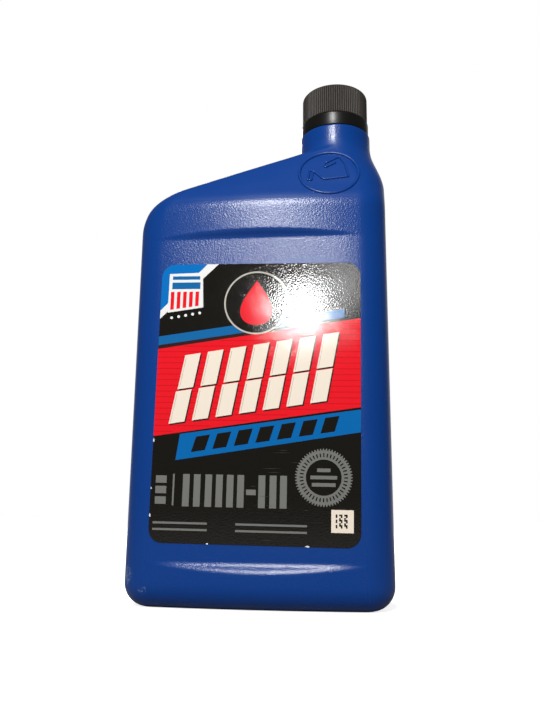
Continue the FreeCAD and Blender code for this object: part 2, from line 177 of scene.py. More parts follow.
TOP_DRAW_IN = 0.45
HALF_BASE = bottle_high[0]
HALF_TOP = HALF_BASE - TOP_DRAW_IN
HALF_DEPTH = bottle_high[1]
MOUTH = bottle_high[2]
CORNER = 12.5
BASE_ROUND = 9.5
WALL = 1.0
CROWN_RISE = 2.0
CROWN_RADIUS = ((HALF_BASE - CORNER) ** 2 + CROWN_RISE**2) / (2 * CROWN_RISE)

CREASE = 167.6
CREASE_BEND = 3.5
NECK_BLEND = 2.7
RIDGE_BLEND = 3.0
FULLEST_CORNER = 0.985
RIDGE_CORNER = 170.9
RIDGE_CORNER_RADIUS = 21.0
SIDE_FALL = 177.0
NECK_ROOT = 196.8
NECK_FLARE = 203.0
NECK_RADIUS = 16.1
NECK_TOP = 208.2
NECK_X = (cap_low[0] + cap_high[0]) / 2

PANEL_LOW = 17.7
PANEL_HIGH = 151.0
PANEL_SINK = 1.9
PANEL_FACE = HALF_DEPTH - PANEL_SINK
PANEL_RAMP = 2.8
PRESSED_BELOW = CREASE - 8
LOW_STRETCH = 1.12
RAMP_BEND = 1.0
FACE_BEND = 0.7
PUSHUP_MARGIN = 12.0
PUSHUP_CORNER = 6.0
PUSHUP_SLOPE = 4.0
PUSHUP_DEPTH = 2.4

lean = (HALF_DEPTH - NECK_RADIUS) / (NECK_ROOT - CREASE)
neck_left = NECK_X - NECK_RADIUS
neck_right = NECK_X + NECK_RADIUS
ridge_slope = (NECK_ROOT - RIDGE_CORNER) / (HALF_TOP + neck_left)
ridge_turn = math.pi / 2 - math.atan(ridge_slope)
arc_low = RIDGE_CORNER - RIDGE_CORNER_RADIUS * math.tan(ridge_turn / 2)
arc_high = arc_low + RIDGE_CORNER_RADIUS * math.sin(ridge_turn)
arc_end = RIDGE_CORNER_RADIUS * (1 - math.cos(ridge_turn)) - HALF_TOP
lean_degrees = math.degrees(math.atan(lean))
print(f"front leans {lean_degrees:.1f} degrees; ridge arc from {arc_low:.1f}")

# %% How one level section depends on its height


def level_sizes(height):
    """Left end, right end, depth and corner radius of the outside at each height.

    The trunk narrows evenly. The left end is an arc R (1 - cos t) where the height is R sin t,
    and then the straight ridge. The right end falls by 3 s^2 - 2 s^3 of the way to the neck.
    The depth shrinks by a parabola over the crease and then by a line. Below the base's
    rounding r, everything draws in by r - sqrt(r^2 - (r - height)^2)."""
    share = np.clip((height - BASE_ROUND) / (arc_low - BASE_ROUND), 0, 1)
    half = HALF_BASE + (HALF_TOP - HALF_BASE) * share
    turn = np.arcsin(np.clip((height - arc_low) / RIDGE_CORNER_RADIUS, 0, math.sin(ridge_turn)))
    on_arc = RIDGE_CORNER_RADIUS * (1 - np.cos(turn)) - half
    on_ridge = arc_end + (height - arc_high) / ridge_slope
    left = np.where(height < arc_high, on_arc, soft_min(on_ridge, neck_left, RIDGE_BLEND))
    fall = np.clip((height - SIDE_FALL) / (NECK_FLARE - SIDE_FALL), 0, 1)
    right = half + (neck_right - half) * fall**2 * (3 - 2 * fall)
    rise = height - CREASE
    bent = lean * np.clip(rise + CREASE_BEND, 0, None) ** 2 / (4 * CREASE_BEND)
    straight = lean * rise
    run_out = soft_max(HALF_DEPTH - straight, NECK_RADIUS, NECK_BLEND)
    depth = np.where(rise < CREASE_BEND, HALF_DEPTH - bent, run_out)
    grown = np.clip(rise / (NECK_ROOT - CREASE), 0, 1)
    corner = CORNER + (NECK_RADIUS - CORNER) * FULLEST_CORNER * grown
    under = BASE_ROUND - np.clip(height, 0, BASE_ROUND)
    inset = BASE_ROUND - np.sqrt(BASE_ROUND**2 - under**2)
    return left + inset, right - inset, depth - inset, corner - inset


SIDE_POINTS = 6
CORNER_POINTS = 12
CROWN_POINTS = 60


def arc_middles(left, right, depth, corner):
    """The section's middle, how far along the corner arcs' middles lie from it, and how far
    out the crown's middle and the corner arcs' middles lie.

    Arcs that touch have middles as far apart as their radii differ, which gives the last."""
    middle = (left + right) / 2
    reach = np.maximum((right - left) / 2 - corner, 0)
    crown_y = depth - CROWN_RADIUS
    corner_y = crown_y + np.sqrt((CROWN_RADIUS - corner) ** 2 - reach**2)
    return middle, reach, crown_y, corner_y


def level_ring(left, right, depth, corner, height):
    """Points round level sections, all heights at once.

    The long sides are arcs of the crown radius about a middle behind them. Where such an arc
    meets a corner arc the two share a tangent, at the angle whose tangent is the distance
    between their middles across over the distance along."""
    left, right, depth, corner, height = np.broadcast_arrays(left, right, depth, corner, height)
    left, right, depth, corner, height = (v[:, None] for v in (left, right, depth, corner, height))
    middle, reach, crown_y, corner_y = arc_middles(left, right, depth, corner)
    meet = np.arctan2(corner_y - crown_y, reach)
    on_side = np.linspace(-1, 1, SIDE_POINTS, endpoint=False)
    on_corner = np.linspace(0, 1, CORNER_POINTS, endpoint=False)
    on_crown = np.linspace(0, 1, CROWN_POINTS, endpoint=False)
    turn_in = meet * on_corner
    turn_over = meet + (math.pi - 2 * meet) * on_crown
    turn_out = math.pi - meet + meet * on_corner
    east = (right + 0 * on_side, corner_y * on_side)
    north_east = (right - corner + corner * np.cos(turn_in), corner_y + corner * np.sin(turn_in))
    north = (middle + CROWN_RADIUS * np.cos(turn_over), crown_y + CROWN_RADIUS * np.sin(turn_over))
    north_west = (left + corner + corner * np.cos(turn_out), corner_y + corner * np.sin(turn_out))
    half_x = np.concatenate([east[0], north_east[0], north[0], north_west[0]], axis=1)
    half_y = np.concatenate([east[1], north_east[1], north[1], north_west[1]], axis=1)
    # the other half is the same turned half way round about the section's middle
    x = np.concatenate([half_x, 2 * middle - half_x], axis=1)
    y = np.concatenate([half_y, -half_y], axis=1)
    return np.stack([x, y, height + 0 * x], axis=-1)


def sink_panels(rings, inset=0.0):
    """Press the label panels in: no point stands further out than the panel's profile.

    The limit is the panel's face between its two ends and rises along a ramp beyond them.
    The lower ramp is a little longer than the upper one, and all bends are softened."""
    z = rings[..., 2]
    slope = (HALF_DEPTH - PANEL_FACE) / PANEL_RAMP
    past_end = np.maximum(z - PANEL_HIGH, (PANEL_LOW - z) / LOW_STRETCH)
    beyond = soft_max(past_end, 0 * z, RAMP_BEND) * slope
    limit = PANEL_FACE - inset + beyond
    y = rings[..., 1]
    depth = np.where(z > PRESSED_BELOW, np.abs(y), soft_min(np.abs(y), limit, FACE_BEND))
    pressed = rings.copy()
    pressed[..., 1] = np.where(np.abs(y) > PANEL_FACE / 2, np.sign(y) * depth, y)
    return pressed


# %% [markdown]
# ## The bottle as one closed skin
# The bottle is hollow, and with its cap off one can look in. So the skin starts in the middle
# of the pushed-up base, runs out and up over the outside, turns in over the mouth and goes
# down again through the bore and the hollow to the middle of the floor. One table of rings
# holds all of it, and only two poles have to be closed.

# %% Rows of the outside and of the hollow


def steps(*stops):
    """Heights between stops, given as (from, to, count), in one array."""
    parts = [np.linspace(a, b, n, endpoint=False) for a, b, n in stops]
    return np.concatenate(parts)


quarter = np.linspace(0, math.pi / 2, 10)
foot = BASE_ROUND * (1 - np.cos(quarter[:-1]))
low_step = (PANEL_LOW - PANEL_RAMP - 1.4, PANEL_LOW + 1.5)
high_step = (PANEL_HIGH - 1.5, PANEL_HIGH + PANEL_RAMP + 1)
trunk = steps(
    (BASE_ROUND, low_step[0], 3),
    (*low_step, 22),
    (low_step[1], high_step[0], 20),
    (*high_step, 20),
    (high_step[1], arc_low, 5),
)
shoulder = np.concatenate([
    arc_low + RIDGE_CORNER_RADIUS * np.sin(np.linspace(0, ridge_turn, 22, endpoint=False)),
    np.linspace(arc_high, NECK_ROOT - 2, 56, endpoint=False),
    np.linspace(NECK_ROOT - 2, NECK_FLARE, 22),
])
outside_height = np.concatenate([foot, trunk, shoulder])
outside = sink_panels(level_ring(*level_sizes(outside_height), outside_height))


def base_rings(margins, heights, lift=0.0):
    """Rings of the underside, each drawn in from the trunk's side by a margin."""
    margins = np.asarray(margins, dtype=float)
    corner = np.maximum(PUSHUP_CORNER, CORNER - margins)
    return level_ring(
        margins - HALF_BASE, HALF_BASE - margins, HALF_DEPTH - margins, corner,
        np.asarray(heights) + lift,
    )


def shrunk(ring, shares, height):
    """Copies of a ring drawn in towards the piece's middle."""
    rings = ring[None] * np.asarray(shares)[:, None, None]
    rings[..., 2] = height
    return rings


end_margin = PUSHUP_MARGIN + PUSHUP_SLOPE
underside = base_rings(
    [end_margin, end_margin - 0.6, PUSHUP_MARGIN + 0.6, PUSHUP_MARGIN, PUSHUP_MARGIN - 0.8],
    [PUSHUP_DEPTH, PUSHUP_DEPTH - 0.15, 0.15, 0.0, 0.0],
)
underside_middle = shrunk(underside[0], [0.25, 0.5, 0.75], PUSHUP_DEPTH)

# %% [markdown]
# The finish above the shoulder is turned, so its rings are circles about the neck. They take
# their directions from the last moulded ring, so that the columns carry on without a twist.

# %% The neck, the locking bead and the mouth
FINISH_RADIUS = 12.4
BORE_RADIUS = 10.7
BEAD_RADIUS = 13.9
BEAD_LOW = 210.9
BEAD_HIGH = BEAD_LOW + 1.6
neck_angles = np.arctan2(outside[-1, :, 1], outside[-1, :, 0] - NECK_X)


def quarter_round(radius, height, size, first, last, count=6):
    """Rows of (radius, height) round an edge, about a middle, between two angles in degrees."""
    turn = np.radians(np.linspace(first, last, count))
    return np.stack([radius + size * np.cos(turn), height + size * np.sin(turn)], axis=1)


finish_profile = np.vstack([
    [[NECK_RADIUS, NECK_FLARE + 0.6], [NECK_RADIUS, NECK_TOP - 1.4]],
    quarter_round(NECK_RADIUS - 0.8, NECK_TOP - 0.8, 0.8, 0, 90),
    [[FINISH_RADIUS + 0.3, NECK_TOP], [FINISH_RADIUS, NECK_TOP + 0.3]],
    [[FINISH_RADIUS, BEAD_LOW], [BEAD_RADIUS - 0.3, BEAD_LOW]],
    quarter_round(BEAD_RADIUS - 0.3, BEAD_LOW + 0.4, 0.3, -60, 40, 4),
    [[FINISH_RADIUS + 0.2, BEAD_HIGH - 0.1], [FINISH_RADIUS, BEAD_HIGH + 0.2]],
    [[FINISH_RADIUS, MOUTH - 1.2]],
    quarter_round(FINISH_RADIUS - 0.5, MOUTH - 0.5, 0.5, 0, 90, 5),
    quarter_round(BORE_RADIUS + 0.4, MOUTH - 0.4, 0.4, 90, 180, 5),
    [[BORE_RADIUS, NECK_TOP + 1.0]],
    quarter_round(BORE_RADIUS + 0.8, NECK_TOP - 0.2, 0.8, 180, 270, 4),
    quarter_round(NECK_RADIUS - WALL - 0.6, NECK_TOP - WALL - 0.6, 0.6, 90, 0, 4),
    [[NECK_RADIUS - WALL, NECK_FLARE - WALL + 0.3]],
])
finish = turned_rings(finish_profile, NECK_X, neck_angles)


def hollow_rings():
    """The hollow from the shoulder down: the outside's sections, a wall further in.

    The shoulder's roof is a wall lower, and round the base the wall is measured square to
    the rounding, which moves a point in by sin t and up by cos t."""
    high = outside_height[outside_height > BASE_ROUND][::-1]
    left, right, depth, corner = level_sizes(high)
    upper = level_ring(left + WALL, right - WALL, depth - WALL, corner - WALL, high - WALL)
    turn = quarter[::-1]
    inner = BASE_ROUND - WALL
    inset = WALL + inner * (1 - np.sin(turn))
    height = WALL + inner * (1 - np.cos(turn))
    lower = level_ring(
        inset - HALF_BASE, HALF_BASE - inset, HALF_DEPTH - inset, CORNER - inset, height
    )
    return sink_panels(np.concatenate([upper[upper[:, 0, 2] > height[0] + 0.2], lower]), inset=WALL)


floor_rings = base_rings(
    [PUSHUP_MARGIN - WALL - 0.6, PUSHUP_MARGIN - WALL, end_margin - WALL - 0.4, end_margin - WALL],
    [0.0, 0.1, PUSHUP_DEPTH - 0.1, PUSHUP_DEPTH],
    lift=WALL,
)
floor_middle = shrunk(floor_rings[-1], [0.75, 0.5, 0.25], PUSHUP_DEPTH + WALL)

skin = np.concatenate([
    underside_middle, underside, outside, finish, hollow_rings(), floor_rings, floor_middle,
])
bottle = stacked_rings(
    "bottle_skin", skin, start=(0, 0, PUSHUP_DEPTH), end=(0, 0, PUSHUP_DEPTH + WALL)
)
smooth_shade(bottle, 35)
print("bottle skin:", len(bottle.data.polygons), "faces")

# %% [markdown]
# ## Marks raised on the shoulder
# A ring with the picture of a tilted jug stands on the leaning front. Its lines are laid out
# flat, as on the mould maker's drawing, with one axis level and one running up the slope.
# Each point is then dropped onto the bottle's front, where the line becomes a low, closed
# bead that is half sunk in the plastic.

# %% The front surface as a function of place


def front_point(x, z):
    """The point of the bottle's front at a place seen from straight in front.

    On the crown it is the crown's circle, and beyond the crown's ends the corner's circle."""
    left, right, depth, corner = level_sizes(z)
    middle, reach, crown_y, corner_y = arc_middles(left, right, depth, corner)
    across = x - middle
    past = np.clip(np.abs(across) - reach, 0, corner * 0.98)
    on_crown = crown_y + np.sqrt(CROWN_RADIUS**2 - across**2)
    on_corner = corner_y + np.sqrt(corner**2 - past**2)
    y = np.where(np.abs(across) > reach, on_corner, on_crown)
    return np.stack([x, -y, z], axis=-1)


def front_normal(x, z):
    """The outward direction there, from two short steps along the surface."""
    step = 0.05
    along = front_point(x + step, z) - front_point(x - step, z)
    up = front_point(x, z + step) - front_point(x, z - step)
    normal = np.cross(along, up)
    return normal / np.linalg.norm(normal, axis=-1, keepdims=True)


RING_X = 29.5
RING_Z = 181.1
RING_RADIUS = 12.75
slope_turn = math.atan(lean)


def length_along(path):
    """The way from a path's first place to each of its places."""
    return np.concatenate([[0], np.cumsum(np.linalg.norm(np.diff(path, axis=0), axis=1))])


def raised_line(path, width, height, closed=False):
    """Points of a low bead along a flat path of (across, up the slope) places.

    Round the bead the offset across the path is w/2 cos p and the rise is h sin p, so half
    of it is under the surface. An open line ends in a half round: at t half widths from its
    end both are shrunk by sqrt(1 - (1 - t)^2)."""
    path = np.asarray(path, dtype=float)
    ahead = np.roll(path, -1, axis=0) - np.roll(path, 1, axis=0)
    size = np.ones(len(path))
    if not closed:
        ahead[0] = path[1] - path[0]
        ahead[-1] = path[-1] - path[-2]
        length = length_along(path)
        to_end = np.minimum(length, length[-1] - length) / (width / 2)
        size = np.sqrt(np.clip(1 - (1 - np.clip(to_end, 0.02, 1)) ** 2, 0, 1))
    side = np.stack([-ahead[:, 1], ahead[:, 0]], axis=1)
    side /= np.linalg.norm(side, axis=1, keepdims=True)
    turn = np.linspace(0, 2 * math.pi, 10, endpoint=False)
    reach = side * (width / 2 * size)[:, None]
    flat = path[:, None] + reach[:, None] * np.cos(turn)[None, :, None]
    x = RING_X + flat[..., 0]
    z = RING_Z + flat[..., 1] * math.cos(slope_turn)
    lift = (height * size)[:, None] * np.sin(turn)[None, :]
    return front_point(x, z) + front_normal(x, z) * lift[..., None]


def drawn_line(corners, spacing=0.5):
    """Even places along straight strokes between corners."""
    corners = np.asarray(corners, dtype=float)
    length = length_along(corners)
    places = np.linspace(0, length[-1], int(length[-1] / spacing) + 2)
    return np.stack([np.interp(places, length, corners[:, k]) for k in (0, 1)], axis=1)


# %% Ring and jug
RING_LINE = {"width": 1.35, "height": 0.75}
JUG_LINE = {"width": 1.0, "height": 0.65}
ring_path = RING_RADIUS * unit_circle(120)
jug_strokes = (
    [(-9.1, -5.0), (-8.3, 1.7), (-5.8, 0.0), (-2.3, -4.3), (8.5, -2.7), (6.9, 5.7),
     (4.4, 9.9), (-1.7, 5.9)],
    [(-1.7, 5.9), (-1.8, 3.2), (3.2, 6.4)],
    [(-9.1, -5.0), (-7.3, -4.4), (-6.9, 0.6)],
)


def bead_mesh(name, lines):
    """One mesh from several closed beads; an open bead's end rings are closed by poles."""
    points, faces, first = [], [], 0
    for rings, closed in lines:
        rows, columns, _ = rings.shape
        points.append(rings.reshape(-1, 3))
        faces += ring_faces(rows, columns, first, closed_rows=closed)
        if not closed:
            poles = first + rows * columns
            points.append(rings[[0, -1]].mean(axis=1))
            ring = first + np.arange(columns)
            faces += fan_faces(poles, ring, inward=False)
            faces += fan_faces(poles + 1, ring + (rows - 1) * columns, inward=True)
        first += rows * columns + (0 if closed else 2)
    return link_mesh(name, np.vstack(points), faces)


marks = [(raised_line(ring_path, **RING_LINE, closed=True), True)]
marks += [(raised_line(drawn_line(stroke), **JUG_LINE), False) for stroke in jug_strokes]
shoulder_mark = bead_mesh("shoulder_mark", marks)
smooth_shade(shoulder_mark, 60)

# %% [markdown]
# ## The thread and the closure
# A 28 mm closure turns on one and a half turns of thread with a lead of 3.2 mm. The ridge on
# the neck and the ridge inside the cap are the same helix, half a lead apart, so the cap can
# climb along the neck without touching it. Both are beads swept along the helix.

# %% One helix for the neck and one for the cap
LEAD = 3.2
THREAD_TURNS = 1.5
THREAD_LOW = 216.6
THREAD_HEIGHT = 1.5
THREAD_RISE = 1.0
RUN_OUT_DEGREES = 25


def thread_rings(radius, low, rise):
    """A thread's ridge: rings along a helix, tapering to nothing at both ends.

    At the angle a the ridge's middle is (r cos a, r sin a, low + lead a / 2 pi). Its cut is
    a half round of the given rise outwards (or inwards if negative), flattened on top."""
    a = np.linspace(0, 2 * math.pi * THREAD_TURNS, 150)
    p = np.linspace(0, 2 * math.pi, 12, endpoint=False)
    to_end = np.minimum(a, a[-1] - a) / math.radians(RUN_OUT_DEGREES)
    size = np.clip(to_end, 0.02, 1) ** 0.5
    out = rise * size[:, None] * np.clip(1.25 * np.cos(p), -0.3, 1)[None, :]
    up = THREAD_HEIGHT / 2 * size[:, None] * np.sin(p)[None, :]
    if rise < 0:
        up = -up
    reach = radius + out
    x = NECK_X + reach * np.cos(a)[:, None]
    y = reach * np.sin(a)[:, None]
    z = low + LEAD * a[:, None] / (2 * math.pi) + up
    return np.stack([x, y, z], axis=-1)


def thread(name, radius, low, rise):
    """The ridge as a piece. Its points are taken backwards, so that its faces look outwards."""
    ridge = bead_mesh(name, [(thread_rings(radius, low, rise)[:, ::-1], False)])
    smooth_shade(ridge, 50)
    return ridge


neck_thread = thread("neck_thread", FINISH_RADIUS, THREAD_LOW, THREAD_RISE)

# %% [markdown]
# The cap's side is one fine rib after another. A rib is only a ripple of the radius, so the
# ribbed wall is a turned surface whose radius also depends on the direction. The ripple fades
# out where the wall rounds over into the top.

# %% The ribbed cap
RIBS = 90
RIB_DEPTH = 0.35
CAP_EDGE = 1.2
CAP_WALL = 1.2
CAP_ROOF = 1.4
cap_radius, cap_bottom, cap_top = turned_size("cap")


def ribbed(profile, ripple):
    """Turned rings whose radius dips between ribs.

    Round the cap the dip is depth (1 - |sin(ribs a / 2)|^0.7), times each row's ripple."""
    angles = np.linspace(0, 2 * math.pi, RIBS * 8, endpoint=False)
    dip = RIB_DEPTH * (1 - np.abs(np.sin(RIBS * angles / 2)) ** 0.7)
    rings = turned_rings(profile, NECK_X, angles)
    out = np.stack([np.cos(angles), np.sin(angles), 0 * angles], axis=-1)
    return rings - out[None] * dip[None, :, None] * np.asarray(ripple)[:, None, None]


inner = cap_radius - CAP_WALL
roof = cap_top - CAP_ROOF
inside_cap = np.vstack([
    [[3.0, roof], [inner * 0.6, roof]],
    quarter_round(inner - 0.5, roof - 0.5, 0.5, 90, 0, 4),
    [[inner, (roof + cap_bottom) / 2]],
    [[inner, cap_bottom + 0.3], [inner + 0.3, cap_bottom]],
])
dish = cap_top - 0.2
wall_heights = np.linspace(cap_bottom + 0.6, cap_top - CAP_EDGE, 6)
outside_cap = np.vstack([
    quarter_round(cap_radius - 0.25, cap_bottom + 0.25, 0.25, -90, 0, 4),
    np.stack([np.full(6, cap_radius), wall_heights], axis=1),
    quarter_round(cap_radius - CAP_EDGE, cap_top - CAP_EDGE, CAP_EDGE, 12, 90, 8),
    [[cap_radius - 2.4, cap_top], [cap_radius - 3.0, dish]],
    [[cap_radius * 0.5, dish], [3.0, dish]],
])
cap_profile = np.vstack([inside_cap, outside_cap])
edge_ripple = np.clip(np.linspace(0.95, -0.5, 8), 0, 1)
cap_ripple = np.concatenate([
    np.zeros(len(inside_cap)), [0.6, 0.8, 0.9, 1.0], np.ones(6), edge_ripple, np.zeros(4),
])
cap = stacked_rings(
    "ribbed_cap", ribbed(cap_profile, cap_ripple),
    start=(NECK_X, 0, roof), end=(NECK_X, 0, dish),
)
smooth_shade(cap, 50)
cap_thread = thread("cap_thread", inner, THREAD_LOW - LEAD / 2, -THREAD_RISE)
print("cap:", len(cap.data.polygons), "faces")

# %% [markdown]
# The tamper band and the foam disc are plain turned pieces. The band's profile runs once
# round its own cut, so its last ring joins its first and no pole is needed.

# %% Tamper band and liner
band_radius, band_bottom, band_top = turned_size("tamper_band")
BAND_WALL = 1.1
GRIP_BORE = 12.8
GRIP_THICKNESS = 1.6
band_inside = band_radius - BAND_WALL
grip_top = band_bottom + GRIP_THICKNESS
round_turn = np.linspace(0, 2 * math.pi, 160, endpoint=False)
band_profile = np.vstack([
    [[GRIP_BORE, band_bottom + 0.3], [GRIP_BORE + 0.3, band_bottom]],
    quarter_round(band_radius - 0.35, band_bottom + 0.35, 0.35, -90, 0, 5),
    [[band_radius, (band_bottom + band_top) / 2]],
    quarter_round(band_radius - 0.45, band_top - 0.45, 0.45, 0, 90, 6),
    [[band_inside + 0.1, band_top], [band_inside, band_top - 0.1]],
    [[band_inside, grip_top], [GRIP_BORE, grip_top]],
])
band = stacked_rings("tamper_ring", turned_rings(band_profile, NECK_X, round_turn))
smooth_shade(band, 40)

liner_radius, liner_bottom, liner_top = turned_size("cap_liner")
liner_profile = np.vstack([
    [[4.0, liner_bottom], [BORE_RADIUS, liner_bottom]],
    quarter_round(liner_radius - 0.2, liner_bottom + 0.2, 0.2, -90, 0, 4),
    quarter_round(liner_radius - 0.2, liner_top - 0.2, 0.2, 0, 90, 4),
    [[4.0, liner_top]],
])
liner = stacked_rings(
    "foam_liner", turned_rings(liner_profile, NECK_X, round_turn),
    start=(NECK_X, 0, liner_bottom), end=(NECK_X, 0, liner_top),
)
smooth_shade(liner, 40)

# %% [markdown]
# ## The label
# The label is a thin film. Its print is laid on it the way a screen printer does, one ink
# after another: each field of colour is a closed plate a hundredth of a millimetre thick, a
# little in front of the one before. That keeps every edge sharp at any distance. The print is
# made of plain bars, leaning blocks, dots and a drop.

# %% Flat plates on the label
label_low, label_high = box_mm("front_label")
LABEL_WIDTH = 83.1
LABEL_HEIGHT = 114.2
LABEL_CORNER = 5.6
LABEL_TILT = math.radians(0.7)
label_middle = (label_low + label_high) / 2
label_front = label_low[1]
INK = 0.012


def on_label(flat, layer):
    """Places (across, up) from the label's middle, turned with it and set on an ink layer."""
    flat = np.asarray(flat, dtype=float)
    x = label_middle[0] + flat[..., 0] * math.cos(LABEL_TILT) + flat[..., 1] * math.sin(LABEL_TILT)
    z = label_middle[2] - flat[..., 0] * math.sin(LABEL_TILT) + flat[..., 1] * math.cos(LABEL_TILT)
    y = np.full_like(x, label_front - INK * layer)
    return np.stack([x, y, z], axis=-1)


def round_rectangle(left, right, low, high, radius, count=7):
    """Corners of a rectangle with round corners, counterclockwise."""
    turn = np.radians(np.linspace(0, 90, count))
    arc = radius * np.stack([np.cos(turn), np.sin(turn)], axis=1)
    middles = ((right - radius, high - radius), (left + radius, high - radius),
               (left + radius, low + radius), (right - radius, low + radius))
    parts = []
    for middle in middles:
        parts.append(arc + middle)
        arc = np.stack([-arc[:, 1], arc[:, 0]], axis=1)
    return np.vstack(parts)


def plate(outline, front, back):
    """Points and faces of a closed plate with that outline between two planes."""
    count = len(outline)
    points = np.vstack([front, back])
    numbers = np.arange(count)
    after = np.roll(numbers, -1)
    rim = np.stack([numbers, numbers + count, after + count, after], axis=1).tolist()
    return points, [numbers.tolist(), (numbers[::-1] + count).tolist()] + rim


label_outline = round_rectangle(
    -LABEL_WIDTH / 2, LABEL_WIDTH / 2, -LABEL_HEIGHT / 2, LABEL_HEIGHT / 2, LABEL_CORNER
)
film_front = on_label(label_outline, 0)
film_back = film_front + (0, label_high[1] - label_low[1], 0)
label_film = link_mesh("label_film", *plate(label_outline, film_front, film_back))

# %% [markdown]
# An ink is a colour and a layer. All plates of the print are kept in one mesh, and each face
# carries its ink in a colour attribute, which the label's material reads.

# %% The printer's inks
INKS = {
    "black": (0.009, 0.008, 0.006),
    "red": (0.86, 0.010, 0.020),
    "deep red": (0.66, 0.007, 0.014),
    "blue": (0.008, 0.140, 0.385),
    "sky": (0.002, 0.165, 0.53),
    "lower sky": (0.002, 0.140, 0.43),
    "cream": (0.93, 0.82, 0.68),
    "white": (0.88, 0.88, 0.86),
    "dull cream": (0.56, 0.53, 0.46),
    "scratch": (0.075, 0.070, 0.064),
    "grey": (0.190, 0.190, 0.175),
    "shadow": (0.035, 0.014, 0.012),
}
print_points, print_faces, print_colours = [], [], []


def add_plate(outline, ink, layer):
    """Print one field of colour: a closed plate whose back lies in the label."""
    outline = np.asarray(outline, dtype=float)
    after = np.roll(outline, -1, axis=0)
    if np.sum(outline[:, 0] * after[:, 1] - after[:, 0] * outline[:, 1]) < 0:
        outline = outline[::-1]
    points, faces = plate(outline, on_label(outline, layer), on_label(outline, -2))
    first = sum(len(part) for part in print_points)
    print_points.append(points)
    print_faces.extend([[first + corner for corner in face] for face in faces])
    print_colours.extend([INKS[ink]] * len(faces))


def add_ring(middle, outer, inner, ink, layer, count=96):
    """Print a ring as plates between two circles; outer may be one radius for each corner."""
    direction = unit_circle(count)
    outside_edge = np.asarray(middle) + direction * np.broadcast_to(outer, count)[:, None]
    inside_edge = np.asarray(middle) + direction * inner
    for k in range(0, count, 4):
        picked = np.arange(k, k + 5) % count
        add_plate(np.vstack([outside_edge[picked], inside_edge[picked[::-1]]]), ink, layer)


def slanted(left, low, width, height, climb=0.155, slant=0.18):
    """A leaning block: its foot climbs to the right and its sides lean over."""
    foot = np.array([left, low])
    along = np.array([width, width * climb])
    up = np.array([height * slant, height])
    return np.array([foot, foot + along, foot + along + up, foot + up])


def upright(left, right, low, high):
    """A plain rectangle."""
    return np.array([(left, low), (right, low), (right, high), (left, high)])


# %% Fields and bands
LEFT, RIGHT = -LABEL_WIDTH / 2, LABEL_WIDTH / 2
TOP = LABEL_HEIGHT / 2
corner_arc = round_rectangle(LEFT, RIGHT, -TOP, TOP, LABEL_CORNER)[7:14]
add_plate(np.vstack([[(-22.3, TOP)], corner_arc, [(LEFT, 37.0)]]), "sky", 1)
add_plate([(-17.5, TOP), (-22.3, TOP), (LEFT, 37.0), (LEFT, 33.5)], "white", 1)
add_plate([(LEFT, 25.9), (LEFT, 22.2), (35.1, 33.5), (35.1, 37.2)], "blue", 1)
add_plate([(LEFT, 22.2), (LEFT, 20.6), (RIGHT, 33.3), (35.1, 33.5)], "shadow", 1)
add_plate([(LEFT, 20.6), (LEFT, -15.4), (RIGHT, -3.0), (RIGHT, 33.3)], "red", 2)
add_plate([(-30.7, -14.4), (-32.1, -24.9), (RIGHT, -12.9), (RIGHT, -3.9)], "lower sky", 2)

# %% Fine lines across the red band
LINE_COUNT = 20
BAND_CLIMB = (33.3 - 20.6) / LABEL_WIDTH
for height in np.linspace(-13.6, 31.0, LINE_COUNT):
    start = max(LEFT, LEFT + (height - 20.0) / BAND_CLIMB)
    stop = min(RIGHT, LEFT + (height + 14.8) / BAND_CLIMB)
    if stop - start > 2:
        add_plate(upright(start, stop, height, height + 0.35), "deep red", 3)

# %% A pale field with stripes, and dots
STRIPE_STEP = 2.62
add_plate([(-38.3, 53.0), (-24.1, 53.4), (-23.4, 38.3), (-38.4, 36.1)], "white", 3)
add_plate(upright(-36.9, -25.2, 50.4, 51.9), "blue", 4)
add_plate(upright(-37.0, -25.0, 46.3, 49.2), "blue", 4)
for k in range(5):
    start, foot = -37.4 + STRIPE_STEP * k, 37.3 + 0.14 * STRIPE_STEP * k
    stop = start + 1.5
    add_plate([(start, foot), (stop, foot + 0.2), (stop, 45.2), (start, 45.1)], "red", 4)
dot = 0.62 * unit_circle(12)
for k in range(5):
    add_plate(dot + (-36.6 + 2.95 * k, 33.9 + 0.5 * k), "white", 3)

# %% Round field with a drop
DISC = (-1.1, 40.2)
DISC_RADIUS = 13.5
add_plate(DISC_RADIUS * unit_circle(96) + DISC, "black", 4)
add_ring(DISC, DISC_RADIUS, DISC_RADIUS - 0.65, "dull cream", 5)
turn = np.linspace(0, 2 * math.pi, 96, endpoint=False)
drop_across = 9.2 * np.sin(turn) * np.sin(turn / 2) ** 1.3
drop = np.stack([drop_across, 9.6 * np.cos(turn)], axis=1)
add_plate(drop + DISC, "red", 5)

# %% Two rows of leaning cream blocks, each row as left, low, width and height
BLOCK_CLIMB = 0.154
BLOCK_SHARE = 0.68
BLOCK_ROWS = ((-32.6, 3.7, 63.0, 14.2), (-35.6, -10.4, 63.6, 13.2))
for left, low, width, height in BLOCK_ROWS:
    step = width / (6 + BLOCK_SHARE)
    for k in range(7):
        start, foot = left + step * k, low + step * k * BLOCK_CLIMB
        for across, up, wide, high, colour, layer in (
            (0.5, -0.55, BLOCK_SHARE * step, height, "shadow", 4),
            (0, 0, BLOCK_SHARE * step, height, "cream", 5),
            (0.75, 0.85, 0.12, height - 1.9, "grey", 6),
        ):
            block = slanted(start + across, foot + up, wide, high, BLOCK_CLIMB)
            add_plate(block, colour, layer)

